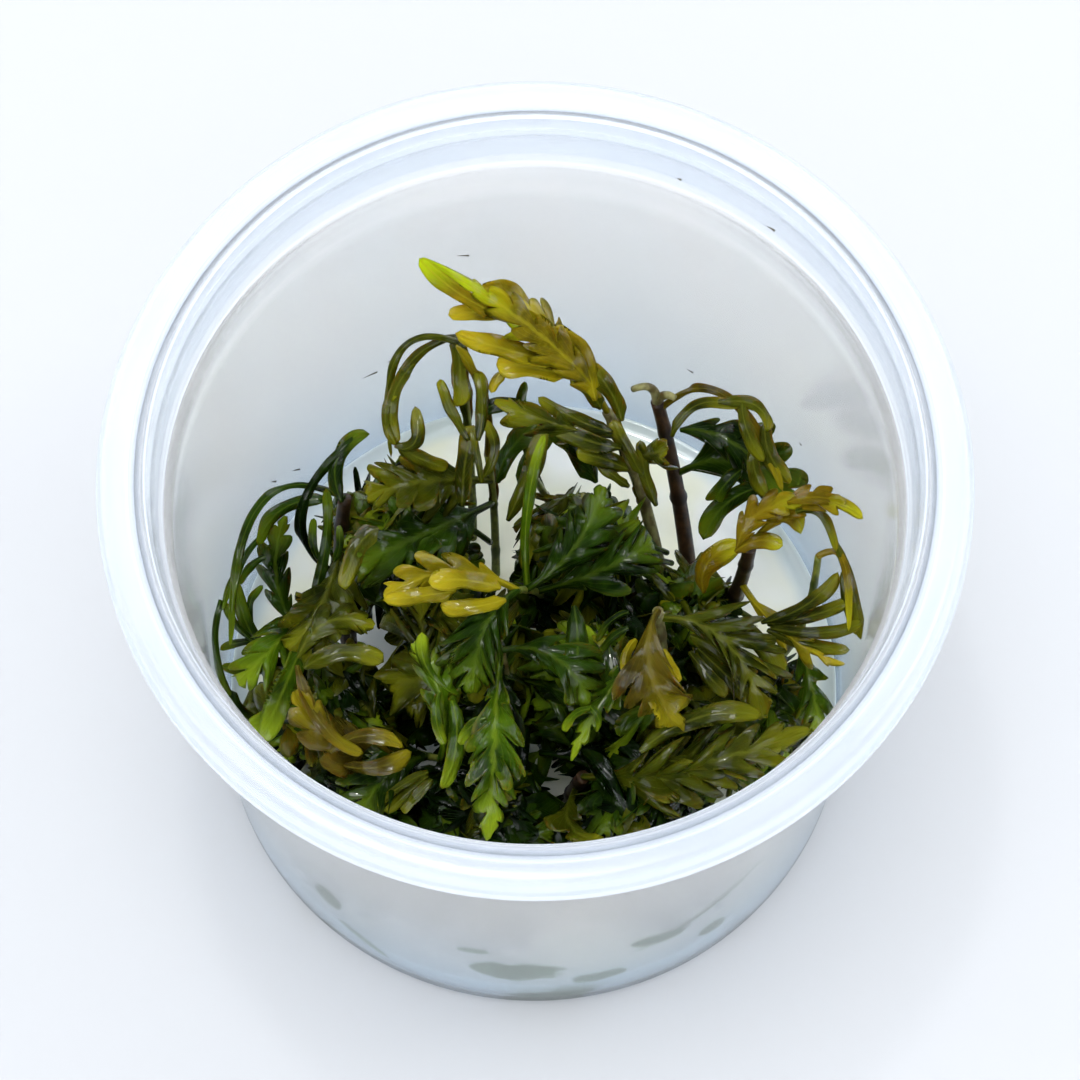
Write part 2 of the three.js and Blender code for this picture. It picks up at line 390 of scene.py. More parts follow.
def wrap(mesh, rows, sides, shape, tone=0):
    """Wraps a grid into a closed skin. shape(t, turn, solid) places each point."""
    layer = mesh.loops.layers.uv.get("blade") or mesh.loops.layers.uv.new("blade")
    grid = bmesh.ops.create_grid(mesh, x_segments=rows, y_segments=sides, size=0.5)["verts"]
    where = {}
    for vert in grid:
        row = round((vert.co.x + 0.5) * rows)
        turn = vert.co.y + 0.5
        t = min(max(row - 1, 0) / (rows - 2), 1)
        solid = 0 if row in (0, rows) else 1
        vert.co, where[vert] = shape(t, turn, solid)
    for face in {face for vert in grid for face in vert.link_faces}:
        face.material_index = tone
        for loop in face.loops:
            loop[layer].uv = where[loop.vert]
    bmesh.ops.remove_doubles(mesh, verts=grid, dist=2e-7)


def stalk(mesh, path, radius, end_radius, rows, sides, knots=0):
    """A round stem that tapers along a path, with a swelling at each knot."""
    aside = path.forward(0.5).orthogonal().normalized()

    def shape(t, turn, solid):
        forward = path.forward(t)
        first = (aside - forward * aside.dot(forward)).normalized()
        second = forward.cross(first)
        size = radius + (end_radius - radius) * t
        if knots:
            near = abs((t * knots) % 1 - 0.5)
            size *= 1 + SWELLING * max(0, 1 - near / SWELLING_REACH)
        angle = turn * 2 * math.pi
        spread = (first * math.cos(angle) + second * math.sin(angle)) * size * solid
        return path.point(t) + spread, (t * max(knots, 1), turn)

    wrap(mesh, rows, sides, shape)


def finish_mesh(mesh):
    bmesh.ops.dissolve_degenerate(mesh, edges=mesh.edges, dist=1e-7)
    bmesh.ops.recalc_face_normals(mesh, faces=mesh.faces)
    return mesh


def bark(name, light, dark):
    made = Finish(
        name,
        Coat_Weight=0.2,
        Coat_Roughness=0.12,
        Specular_IOR_Level=0.15,
        Subsurface_Weight=0.08,
        Subsurface_Scale=MM,
    )
    along = made.node("UVMap", {"uv_map": "blade"})
    knot = abs(made.node("SeparateXYZ", Vector=along).repeat() - 0.5).ramp(0.02, 0.16)
    mottle = made.spots(0.0012, 3, 0.6, (1, 1, 0.3))
    made.feed(
        Base_Color=made.blend(knot * mottle.ramp(0.3, 0.7), dark, light),
        Roughness=0.35 + mottle * 0.25,
    )
    made.relief(mottle, 0.00015, 0.5)
    return made


BARK = {
    "olive": bark("greyed_olive_stem", shade(128, 126, 78), shade(74, 66, 34)),
    "dark": bark("dark_red_stem", shade(66, 46, 26), shade(30, 20, 12)),
    "green": bark("green_stem", shade(124, 132, 54), shade(66, 78, 26)),
}
stem_path = {}
for name, (foot, bend, head, kind) in STEMS.items():
    path = Path(Vector((*foot, FOOT)) * MM, Vector(bend) * MM, Vector(head) * MM)
    stem_path[name] = path
    mesh = bmesh.new()
    girth = GIRTH[kind] * MM
    planted = Path(path.start - path.forward(0) * SUNK * MM, path.bend, path.end)
    stalk(mesh, planted, girth, girth * 0.75, 42, 14, 3)
    stem = lay("shoot_" + name, finish_mesh(mesh), BARK[kind])
    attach(stem, "root")
    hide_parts("stem_" + name)
mesh = bmesh.new()
top = stem_path["dark"].end
for lift, reach in (((-0.4, 0, 6.5), (-3.0, 0, 3.6)), ((0.8, -0.5, 4.5), (2.0, -1, 3.4))):
    stalk(mesh, Path(top, top + Vector(lift) * MM, top + Vector(reach) * MM), 0.00065, 0.0004, 24, 10)
curl = lay("curled_shoot", finish_mesh(mesh), BARK["olive"])
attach(curl, "root")


# Leaves. Each is one thin, wet blade cut almost to the midrib into blunt
# lobes that sweep forwards, on a short stalk that grows from its stem.
UPWARDS = Vector((0, -0.35, 0.94))
STALK = 0.14
STALK_RADIUS = 0.00042
BLADE_HALF_THICKNESS = 0.00013
MOST_TWIST = 70
WALL_CLEARANCE = 0.0004


def lobed(along, lobes, web, gap, shift, body, chance):
    """The share of the half width that the blade reaches on one side.

    With a web of 1 there are no lobes, and the edge is one uneven curve.
    """
    if web == 1:
        uneven = 0.3 * noise.noise(Vector((along * 3, chance * 1.9, shift * 5)))
        return (0.6 + 0.4 * along + uneven) * math.sqrt(1 - along**7)
    if along > body:
        rest = (along - body) / (1 - body)
        return 0.32 * math.sqrt(max(0.0, 1 - rest**2.4)) * (1 - 0.45 * rest)
    along /= body
    whole = 0.3 + 0.7 * math.sin(math.pi * min(1, along * 0.9 + 0.04) ** 0.75) ** 0.7
    place = along * lobes + shift
    near = abs(2 * (place % 1) - 1) / (1 - gap)
    finger = math.sqrt(1 - near**2.6) if near < 1 else 0
    own = 0.85 + 0.45 * noise.noise(Vector((math.floor(place) * 3.7, shift * 9, chance * 1.3)))
    return whole * (web + (1 - web) * finger * own)


def blade(
    mesh, path, half, lobes, turn, cut, seed, up=UPWARDS, size=1.0, steps=12, sides=16, tone=0, bare=STALK
):
    """Grows one leaf. cut is one of CUTS, and tone the number of its finish."""
    web, gap, sweep, droop, ripple, body = cut
    across = (path.end - path.start).cross(up).normalized()
    petiole = STALK_RADIUS * size
    offset = Vector((seed * 1.7, seed * 0.9, seed * 2.3))
    twist = noise.noise(offset) * MOST_TWIST
    fold = noise.noise(offset * 1.7) * 0.9 + 0.1

    def place(t, spin, solid):
        # Half of the way round runs over the top of the blade from its left
        # edge to its right edge, and the other half comes back underneath. The
        # points crowd at the midrib, where the blade is thickest.
        v, face = (spin * 4 - 1, 1) if spin < 0.5 else (3 - spin * 4, -1)
        v = math.copysign(abs(v) ** 1.5, v)
        along = max(0.0, (t - bare) / (1 - bare))
        forward = path.forward(t)
        side = (across - forward * across.dot(forward)).normalized()
        side = Matrix.Rotation(math.radians(turn + twist * (t - 0.4)), 3, forward) @ side
        above = side.cross(forward)
        shift = 0.0 if v < 0 else 0.38
        width = half * lobed(along, lobes, web, gap, shift, body, seed)
        spread = abs(v) * width
        lobe = math.floor(along / body * lobes + shift)
        own = noise.noise(Vector((lobe * 5.1, shift * 7, seed * 2.9)))
        rib = petiole * (1 - 0.65 * t) * math.sqrt(max(0.0, 1 - (spread / petiole) ** 2))
        sheet = BLADE_HALF_THICKNESS * size * math.sqrt(max(0.0, 1 - v * v))
        fleshy = min(1.0, (1 - t) * 14)
        ripples = noise.noise(path.point(t) * 260 + side * v * 0.9 + offset) * ripple + fold
        # Over its first eighth the round stalk opens into the flat blade.
        opened = min(1.0, along * 8)
        angle = spin * 2 * math.pi
        round_side = -math.cos(angle) * petiole * solid
        round_up = math.sin(angle) * petiole * solid
        flat_side = v * width * solid
        sag = droop * (1 + 2.6 * own) * abs(v) ** 1.5
        flat_up = (max(rib, sheet) * face * fleshy + (ripples - sag) * spread) * solid
        point = path.point(t) + forward * sweep * spread * opened * solid
        point += side * (round_side + (flat_side - round_side) * opened)
        point += above * (round_up + (flat_up - round_up) * opened)
        pressed = (inner_wall(point.z) - WALL_CLEARANCE) / math.hypot(point.x, point.y)
        if pressed < 1:
            point.x, point.y = point.x * pressed, point.y * pressed
        return point, (along, (v + 1) / 2)

    wrap(mesh, steps * lobes + 10, sides, place, tone)


def tissue(name, deep, middle, tip, vein):
    """Leaf skin: mottled, paler along its veins, with painted light at its thin edges, and turning
    towards its tip.
    """
    made = Finish(
        name,
        Coat_Roughness=0.05,
        Subsurface_Weight=0.1,
        Subsurface_Scale=MM,
        Specular_IOR_Level=0.03,
    )
    layout = made.node("UVMap", {"uv_map": "blade"})
    along = made.node("SeparateXYZ", Vector=layout)
    across = abs(made.node("SeparateXYZ", None, 1, Vector=layout) * 2 - 1)
    rib = 1 - across.ramp(0.03, 0.2)
    # Painted light: the rim is made paler, standing for light shining through the thin edge.
    edge = across.ramp(0.7, 1.0)
    mottle = made.spots(0.0016, 3, 0.65)
    patch = made.spots(0.006, 2, 0.5)
    cells = made.spots(0.0004, 2, 0.5)
    branch = abs((along * 12 - across * 3).repeat() - 0.5).ramp(0.0, 0.14)
    veins = (rib * 0.6 + (1 - branch) * 0.2) * (0.4 + mottle * 0.6)
    body = made.blend(patch.ramp(0.34, 0.66), deep, middle)
    body = made.blend(mottle.ramp(0.42, 0.7) * 0.4, body, middle)
    body = made.blend(along.ramp(0.5, 1.0) * (0.5 + patch * 0.7), body, tip)
    body = made.blend(veins + edge * 0.35, body, vein)
    film = made.spots(0.0025, 1).ramp(0.5, 0.62)
    made.feed(Base_Color=body, Roughness=0.26 + mottle * 0.3, Coat_Weight=0.02 + film * 0.6)
    made.relief(mottle * 0.5 + cells * 0.3 + rib * 0.5 - (1 - branch) * 0.3, 0.0002, 0.6)
    return made


# Each skin's shades, from the deep of the blade to its middle, tip and veins.
LEAF_COLOURS = {
    "lime": ("lime_tipped_leaf", (76, 68, 6), (124, 110, 10), (166, 190, 16), (146, 138, 26)),
    "gold": ("gold_leaf", (84, 78, 6), (128, 118, 10), (168, 152, 26), (152, 142, 30)),
    "orange": ("orange_leaf", (72, 60, 2), (106, 90, 5), (158, 158, 22), (128, 114, 18)),
    "brown": ("brown_leaf", (44, 38, 4), (80, 70, 10), (132, 122, 16), (104, 96, 28)),
    "olive": ("olive_leaf", (22, 30, 2), (62, 68, 5), (110, 112, 14), (96, 100, 26)),
    "green": ("green_leaf", (5, 20, 1), (32, 54, 3), (78, 98, 10), (72, 92, 20)),
    "bright": ("bright_leaf", (24, 46, 2), (62, 88, 5), (130, 150, 24), (108, 128, 26)),
    # The near-black deep skin is painted shade on the small leaves inside the bunches.
    "deep": ("deep_leaf", (1, 7, 1), (7, 22, 1), (30, 50, 3), (28, 46, 5)),
}
TISSUE = {
    kind: tissue(label, *(shade(*colour) for colour in colours))
    for kind, (label, *colours) in LEAF_COLOURS.items()
}
# How a blade is cut: its web, the gap between lobes, their forward sweep, how
# far the edges droop and ripple, and the share below the end lobe. A finger
# has no lobes.
CUTS = {
    "plume": (0.3, 0.06, 1.5, 0.42, 1.5, 0.76),
    "lobes": (0.26, 0.14, 1.35, 0.4, 1.5, 0.84),
    "fingers": (0.14, 0.34, 1.6, 0.35, 1.3, 0.8),
    "broad": (0.42, 0.06, 1.15, 0.42, 1.6, 0.86),
    "strap": (0.36, 0.2, 1.4, 0.25, 1.0, 0.84),
    "finger": (1, 0, 0, -0.1, 1.3, 1),
}
# Each leaf: its stem and the share of the way up where it grows, the point it
# is drawn towards, its tip, its half width, its lobes, its turn in degrees, its
# colour and its cut.
LEAVES = {
    "tall": ("tall", 1, (4, 25.5, 58), (-13.5, 33, 64), 2.6, 7, 0, "lime", "plume"),
    "hook": ("hook", 1, (-19.5, 29, 58), (-17.5, 18.5, 38), 0.7, 5, 0, "olive", "finger"),
    "antler": ("antler", 1, (-5, 25, 44), (-9.5, 26, 55), 0.9, 4, 0, "brown", "finger"),
    "finger": ("back", 0.55, (-3, 26, 32), (-1.5, 27, 42), 0.9, 2, 0, "green", "finger"),
    "cane": ("left", 0.5, (-34, 9, 40), (-21, 19.5, 43), 0.9, 5, 0, "deep", "finger"),
    "far_left": ("left", 1, (-37, 20, 39), (-36, -6, 38), 0.8, 8, 0, "green", "finger"),
    "peak": ("back", 0.9, (1, 27, 44), (7, 17, 37), 2.2, 4, 0, "deep", "broad"),
    "strip": ("centre", 0.8, (-2, 10, 44), (1, 18, 47), 0.9, 5, 0, "bright", "finger"),
    "loop": ("dark", 0.95, (23, 28, 52), (29.5, 13.5, 41), 0.8, 7, 0, "brown", "finger"),
    "rib": ("dark", 0.6, (25, 22, 38), (31, 14, 36), 5, 5, 0, "green", "broad"),
    "orange": ("right", 1, (31, 11, 52), (37.5, 6, 53), 2.2, 5, 0, "orange", "lobes"),
    "lacy": ("edge", 1, (37.5, 6, 47), (37, -4.5, 42), 0.6, 6, 0, "orange", "finger"),
    "fan": ("right", 0.65, (29, -6, 40), (37, -6.5, 36), 2, 4, 0, "gold", "fingers"),
    "gold": ("centre", 1, (-10, 2, 50), (-17.5, -2.5, 46), 3.2, 5, 0, "gold", "lobes"),
    "twist": ("front_left", 1, (-9, -14, 44), (-14, -8, 46), 3, 5, 0, "bright", "strap"),
    "front": ("front", 1, (-4.5, -23, 51), (-5, -29, 37), 3.8, 7, 0, "bright", "lobes"),
    "olive_left": ("left", 0.7, (-24, -2, 42), (-29, -6, 37), 4.8, 6, 0, "olive", "broad"),
    "curl": ("front_left", 0.6, (-23, -22, 40), (-28, -12, 40), 3.6, 5, 0, "brown", "broad"),
    "bright_left": ("left", 0.5, (-31, -8, 42), (-35, -10, 37), 3.6, 5, 0, "bright", "lobes"),
    "brown": ("front_right", 1, (11, -12, 54), (17, -16.5, 40), 5.2, 5, 0, "brown", "broad"),
    "thin": ("front_right", 0.8, (8, -12, 44), (4.5, -19, 36), 1.8, 6, 0, "bright", "strap"),
    "grey": ("front_right", 0.95, (24, -4, 46), (27, -14, 38), 4.8, 6, 0, "olive", "fingers"),
    "olive_front": ("low", 1, (17, -23, 42), (32.5, -15.5, 38), 4.6, 7, 0, "olive", "lobes"),
    "lobes": ("low", 0.75, (2, -28, 34), (9, -29, 36), 2.6, 4, 0, "olive", "lobes"),
    "bright_right": ("edge", 0.4, (34, -9, 30), (34, -14, 33), 3, 4, 0, "bright", "lobes"),
    "mid_1": ("antler", 0.7, (-13, 14, 44), (-20, 12, 42), 4.6, 6, 0, "olive", "lobes"),
    "mid_2": ("antler", 0.5, (-14, 5, 46), (-22, 2.5, 43), 4.8, 6, 0, "green", "broad"),
    "mid_3": ("centre", 1, (-7, -6, 50), (-7, -13, 43), 4.6, 6, 0, "green", "lobes"),
    "mid_4": ("centre", 0.85, (6, 4, 44), (8, 13.5, 42), 3.8, 5, 0, "green", "broad"),
    "mid_5": ("centre", 0.6, (10, 3, 42), (14, 8, 38), 4.2, 5, 0, "green", "lobes"),
    "mid_6": ("front", 1, (4, -8, 48), (6.5, -14, 42), 4, 5, 0, "green", "lobes"),
    "low_2": ("front_left", 0.8, (-18, -20, 36), (-20, -25, 34), 4.2, 5, 0, "green", "lobes"),
    "low_3": ("front", 0.85, (-4, -13, 40), (-5, -22, 35), 4.2, 5, 0, "deep", "lobes"),
    "tall_right": ("tall", 0.7, (14, 18, 42), (15.5, 16, 47), 2.6, 4, 0, "olive", "lobes"),
    "tall_left": ("tall", 0.85, (4, 18, 47), (-5, 21, 50), 2.8, 4, 0, "olive", "lobes"),
}
# Long fingers, where a leaf has lobes that curl free of its blade. A row gives
# where one starts, is drawn to and ends, read as places across and down
# the picture, then its height in the jar in mm at both ends, and how wide it
# looks in the picture.
FINGERS = {
    "tall": (
        ((512, 318), (455, 300), (419, 258), 55, 65, 15),
        ((545, 335), (512, 282), (480, 292), 53, 59, 24),
        ((566, 375), (560, 315), (514, 304), 49, 57, 26),
        ((595, 400), (585, 345), (552, 328), 45, 53, 22),
        ((515, 318), (482, 308), (448, 315), 55, 57, 16),
        ((560, 362), (510, 352), (455, 333), 50, 54, 18),
        ((566, 376), (528, 362), (496, 365), 48, 50, 22),
        ((512, 366), (496, 372), (491, 393), 49, 48, 10),
    ),
    "tall_right": (
        ((642, 474), (626, 446), (612, 420), 38, 42, 12),
        ((656, 505), (642, 474), (640, 440), 34, 39, 12),
        ((628, 486), (612, 476), (598, 462), 36, 39, 10),
    ),
    "tall_left": (
        ((622, 420), (612, 385), (588, 364), 42, 48, 20),
        ((600, 408), (590, 388), (572, 372), 42, 47, 16),
        ((612, 432), (572, 422), (538, 397), 42, 46, 15),
        ((620, 448), (572, 440), (545, 418), 41, 44, 15),
        ((628, 470), (600, 455), (576, 452), 38, 42, 20),
    ),
    "hook": (
        ((457, 336), (405, 346), (392, 402), 50, 48, 10),
        ((414, 364), (378, 398), (398, 444), 50, 44, 13),
        ((397, 384), (374, 418), (396, 446), 48, 44, 6),
        ((396, 446), (426, 456), (415, 406), 44, 47, 11),
        ((397, 444), (420, 462), (448, 468), 44, 40, 15),
    ),
    "antler": (
        ((455, 337), (464, 372), (457, 407), 50, 47, 18),
        ((468, 440), (448, 408), (440, 379), 45, 49, 10),
        ((478, 440), (487, 400), (477, 370), 45, 49, 13),
        ((462, 505), (463, 460), (474, 425), 38, 45, 20),
        ((482, 478), (506, 445), (484, 420), 41, 46, 10),
        ((482, 482), (478, 455), (472, 430), 41, 45, 8),
    ),
    "finger": (
        ((476, 414), (516, 390), (522, 425), 42, 41, 15),
    ),
    "cane": (
        ((310, 612), (334, 540), (326, 488), 30, 39, 10),
        ((322, 562), (308, 545), (314, 518), 33, 36, 8),
        ((292, 622), (262, 570), (286, 516), 28, 37, 26),
        ((334, 560), (344, 545), (338, 525), 34, 37, 8),
    ),
    "far_left": (
        ((342, 502), (320, 448), (370, 434), 39, 43, 14),
        ((332, 500), (272, 494), (258, 546), 38, 36, 11),
        ((262, 536), (236, 560), (221, 612), 36, 33, 8),
        ((221, 600), (205, 650), (232, 700), 33, 27, 8),
        ((286, 666), (243, 645), (236, 580), 26, 34, 11),
        ((252, 625), (244, 600), (263, 585), 31, 33, 6),
        ((278, 662), (250, 674), (221, 666), 27, 28, 10),
        ((262, 644), (240, 638), (220, 650), 29, 30, 7),
        ((256, 642), (232, 628), (225, 602), 30, 33, 8),
        ((268, 556), (248, 562), (239, 585), 35, 33, 8),
        ((228, 690), (236, 716), (262, 730), 27, 26, 14),
    ),
    "mid_1": (
        ((378, 528), (350, 542), (345, 590), 45, 42, 20),
    ),
    "loop": (
        ((672, 436), (692, 388), (738, 408), 42, 48, 9),
        ((718, 402), (770, 395), (766, 432), 48, 46, 12),
        ((766, 422), (760, 452), (790, 484), 46, 41, 14),
        ((742, 404), (742, 432), (764, 462), 48, 44, 11),
        ((756, 442), (746, 466), (768, 498), 45, 40, 12),
    ),
    "rib": (
        ((680, 430), (738, 424), (784, 500), 40, 40, 30),
        ((768, 486), (720, 492), (703, 540), 40, 33, 20),
        ((742, 470), (720, 486), (716, 500), 39, 36, 16),
    ),
    "orange": (
        ((738, 548), (750, 500), (804, 504), 44, 50, 26),
        ((788, 503), (832, 486), (863, 519), 50, 53, 12),
        ((772, 514), (798, 512), (802, 532), 48, 45, 15),
        ((736, 552), (758, 532), (783, 546), 44, 45, 15),
        ((704, 592), (696, 552), (742, 545), 37, 44, 22),
    ),
    "lacy": (
        ((796, 512), (828, 500), (836, 552), 50, 46, 7),
        ((834, 540), (856, 585), (861, 640), 46, 37, 10),
        ((846, 566), (838, 596), (858, 636), 44, 37, 7),
    ),
    "fan": (
        ((762, 622), (815, 612), (838, 572), 37, 43, 13),
        ((768, 624), (822, 618), (852, 598), 37, 41, 13),
        ((772, 628), (830, 640), (862, 622), 37, 39, 12),
        ((768, 630), (800, 648), (850, 650), 36, 36, 13),
    ),
    "brown": (
        ((652, 664), (648, 700), (678, 726), 45, 40, 18),
        ((646, 656), (632, 680), (642, 692), 45, 43, 10),
        ((636, 640), (620, 655), (628, 676), 46, 44, 10),
        ((664, 650), (670, 668), (680, 682), 45, 43, 9),
    ),
    "grey": (
        ((690, 636), (722, 646), (758, 682), 41, 37, 14),
        ((698, 648), (728, 676), (768, 718), 40, 35, 15),
        ((690, 652), (712, 682), (728, 694), 40, 38, 12),
        ((735, 622), (760, 640), (785, 672), 38, 34, 18),
    ),
    "peak": (
        ((498, 482), (506, 440), (547, 420), 34, 41, 22),
        ((596, 482), (578, 440), (545, 421), 34, 41, 22),
        ((520, 486), (530, 450), (552, 424), 34, 40, 20),
    ),
    "strip": (
        ((508, 520), (530, 478), (545, 420), 38, 45, 15),
    ),
    "olive_left": (
        ((298, 658), (322, 602), (374, 626), 38, 40, 32),
        ((304, 668), (342, 640), (384, 662), 37, 38, 20),
    ),
    "bright_left": (
        ((304, 640), (288, 680), (262, 742), 37, 30, 24),
        ((302, 702), (272, 716), (250, 728), 31, 29, 20),
    ),
    "curl": (
        ((297, 666), (312, 738), (364, 754), 40, 38, 12),
        ((330, 752), (362, 722), (404, 748), 38, 38, 12),
        ((345, 765), (380, 775), (412, 752), 36, 37, 16),
    ),
    "twist": (
        ((458, 694), (416, 676), (422, 632), 41, 47, 12),
        ((452, 700), (466, 745), (442, 789), 42, 36, 15),
        ((440, 690), (430, 720), (446, 745), 42, 39, 10),
    ),
    "front": (
        ((487, 735), (476, 750), (473, 779), 42, 37, 9),
        ((493, 740), (502, 758), (500, 777), 42, 37, 8),
        ((486, 718), (468, 722), (460, 745), 43, 40, 9),
    ),
    "lobes": (
        ((428, 772), (400, 782), (375, 806), 34, 32, 9),
        ((428, 776), (406, 794), (385, 813), 34, 31, 9),
        ((432, 780), (416, 796), (402, 812), 34, 31, 9),
    ),
    "mid_6": (
        ((628, 612), (606, 618), (597, 642), 43, 41, 8),
        ((628, 628), (608, 636), (599, 656), 43, 40, 8),
        ((608, 646), (618, 686), (610, 708), 41, 38, 22),
        ((574, 606), (584, 660), (568, 706), 45, 40, 22),
    ),
    "thin": (
        ((590, 708), (572, 708), (564, 732), 42, 38, 8),
        ((590, 706), (603, 716), (597, 732), 42, 38, 7),
    ),
    "olive_front": (
        ((640, 752), (700, 700), (762, 716), 40, 41, 18),
        ((668, 760), (720, 768), (784, 746), 38, 38, 15),
    ),
    "mid_4": (
        ((590, 520), (612, 545), (640, 520), 36, 38, 16),
    ),
    "gold": (
        ((455, 590), (425, 596), (383, 600), 47, 47, 14),
        ((500, 588), (465, 575), (428, 582), 46, 48, 18),
        ((505, 600), (470, 612), (440, 606), 46, 46, 16),
    ),
}
# What a mm takes up in the picture at the height of the leaves, and how much
# wider a finger is than it looks, because it lies slanting.
PICTURE_MM = 8.65
SLANT = 1.42
# Fingers come in a few widths in mm. The broadest have lobes of their own.
FINGER_WIDTHS = (1.2, 1.6, 2, 2.5, 3, 3.6, 4.4, 5)
WIDEST_FINGER = 4
BROAD_LOBES = 4
FINGER_ARCH = 1.5
# The fingers of these leaves have another colour than the leaf.
FINGER_KIND = {
    "tall": "gold",
    "antler": "olive",
    "brown": "gold",
    "lacy": "olive",
    "cane": "green",
    "loop": "olive",
    "strip": "olive",
    "peak": "green",
    "fan": "olive",
}
# A strip of blade runs down the stem below some leaves, and others have a
# second, shorter leaf beside them.
WINGED = {"hook": 0.0019, "tall_left": 0.0022, "olive_left": 0.0016, "antler": 0.0017}
PAIRED = ("tall", "mid_1", "mid_2", "mid_3", "mid_4", "front", "grey", "olive_left", "olive_front", "rib")
for number, (name, row) in enumerate(LEAVES.items()):
    stem, at, bend, tip, half, lobes, turn, kind, cut = row
    root = stem_path[stem].point(at)
    path = Path(root, Vector(bend) * MM, Vector(tip) * MM)
    mesh = bmesh.new()
    blade(mesh, path, half * 0.9 * MM, max(2, lobes - 1), turn, CUTS[cut], number)
    if name in PAIRED:
        lower = Path(
            root,
            path.bend * 0.9 + root * 0.1 - Vector((0, 0, 0.0015)),
            path.point(0.72) - Vector((0, 0, 0.002)),
        )
        blade(mesh, lower, half * MM, max(2, lobes - 2), turn + 25, CUTS[cut], number + 50)
    if name in WINGED:
        wing = Path(*(stem_path[stem].point(share) for share in (0.35, 0.7, 1)))
        blade(mesh, wing, WINGED[name] * 0.6, 4, 35, CUTS["finger"], number + 90, steps=8)
    for count, (start, bend, end, low, high, looks) in enumerate(FINGERS.get(name, ())):
        arch = (low + high) / 2 + FINGER_ARCH
        curve = Path(seen(start, low), seen(bend, arch), seen(end, high))
        width = min(FINGER_WIDTHS, key=lambda size: abs(size - looks * SLANT / PICTURE_MM))
        wide = width > WIDEST_FINGER
        blade(
            mesh,
            curve,
            width / 2 * MM,
            BROAD_LOBES if wide else 1,
            (count * 37) % 26 - 13,
            CUTS["broad" if wide else "finger"],
            number + count * 7,
            size=0.7,
            steps=14,
            sides=12,
            tone=min(count, 1) if name == "tall" else 1,
            bare=0.01,
        )
    leaf = lay("leaf_" + name, finish_mesh(mesh), TISSUE[kind], TISSUE[FINGER_KIND.get(name, kind)])
    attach(leaf, "root")
    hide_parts("leaf_" + name)


# Tufts. Bunches of young shoots between the tall stems, each shoot with
# pairs of small leaves that arch out to the rounded outline of the bunch.
# Each bunch: its place on the jelly, its radius and its height.
TUFTS = {
    "left": (-25, -9, 11.5, 22),
    "back_left": (-16.5, 13, 10.5, 26),
    "middle": (-9, -3, 12.5, 27),
    "corner": (-20, -22, 8.5, 22),
    "front_left": (-5.5, -24, 11.5, 25),
    "centre": (8, -7, 12.5, 27),
    "front_right": (13.8, -23, 10.6, 26),
    "right": (27, -9, 9.5, 20),
    "back": (6, 11, 10.5, 23),
    "stem_side": (18, 3, 8, 21),
}
TUFT_LOBES = 5
OUTER_LEAVES = 60
INNER_LEAVES = 22
# The finishes that a small leaf may have, by number. Painted shade: the leaves deep inside a bunch, and
# those of bunches on the near side, take darker finishes to stand for the shade there.
SHADED_INNER_TONES = (0, 0, 0, 1)
SHADED_FRONT_TONES = (0, 0, 0, 1, 1, 2)
OUTER_TONES = (0, 1, 1, 2, 2, 3)
NEAR_SIDE = -20
LAYERS = (0.97, 0.9, 0.76)
GOLDEN_ANGLE = 2.39996
for number, (name, (x, y, radius, height)) in enumerate(TUFTS.items()):
    chance = random.Random(40 + number)
    mesh = bmesh.new()
    middle = Vector((x, y, FOOT + height / 2))
    core = Path((x, y, FOOT), middle, (x, y, FOOT + height * 0.8))
    planted = (core.start - Vector((0, 0, SUNK))) * MM
    stalk(mesh, Path(planted, core.bend * MM, core.end * MM), 0.0007, 0.0004, 12, 8)
    for leaf in range(OUTER_LEAVES + INNER_LEAVES):
        angle = leaf * GOLDEN_ANGLE + chance.uniform(-0.3, 0.3)
        out = Vector((math.cos(angle), math.sin(angle), 0))
        outline = radius * (0.91 + 0.09 * math.cos(TUFT_LOBES * angle))
        length = chance.uniform(9, 14)
        layer = chance.choice(LAYERS)

        def skin(flat):
            """The point of this layer of the bunch above a place in its plan."""
            crown = math.sqrt(max(0, 1 - (flat.length / outline) ** 3))
            return middle + (flat + Vector((0, 0, height / 2 * crown))) * layer

        if leaf < OUTER_LEAVES:
            end = out * outline * 1.08 * ((leaf + 0.5) / OUTER_LEAVES) ** 0.5
            grow = Matrix.Rotation(chance.uniform(-1.1, 1.1), 3, "Z") @ out * length
            root, bend, tip = skin(end - grow), skin(end - grow / 2), skin(end)
            root.z -= 2.5
            bend.z += chance.uniform(-0.5, 2)
            half = chance.uniform(2.8, 4.6)
            slope = (end - grow / 2) / outline**2
        else:
            low = math.radians(chance.uniform(-50, 5))
            side = out * outline * math.cos(low) + Vector((0, 0, height / 2 * math.sin(low)))
            tip = middle + side * chance.uniform(0.85, 1.12)
            root = core.point(chance.uniform(0.15, 0.6))
            bend = (root + tip) / 2 + Vector((0, 0, 2))
            half = chance.uniform(2.6, 4.2)
            slope = out * 0.02
        cut = chance.choice(("lobes", "broad", "broad", "finger", "fingers"))
        # Painted shade: darker finishes inside the bunches and on the near side.
        if layer == LAYERS[-1] or leaf >= OUTER_LEAVES:
            tones = SHADED_INNER_TONES
        else:
            tones = SHADED_FRONT_TONES if y < NEAR_SIDE else OUTER_TONES
        blade(
            mesh,
            Path(root * MM, bend * MM, tip * MM),
            half * MM * (0.4 if cut == "finger" else 1),
            2 + leaf % 3,
            chance.uniform(-30, 30),
            CUTS[cut],
            number * 70 + leaf,
            up=(slope + Vector((0, 0, 2 / height))).normalized(),
            size=0.9,
            steps=10,
            sides=10,
            tone=chance.choice(tones),
        )
    finishes = (TISSUE[kind] for kind in ("deep", "green", "olive", "bright"))
    tuft = lay("young_leaves_" + name, finish_mesh(mesh), *finishes)
    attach(tuft, "root")
    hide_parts("tuft_" + name)


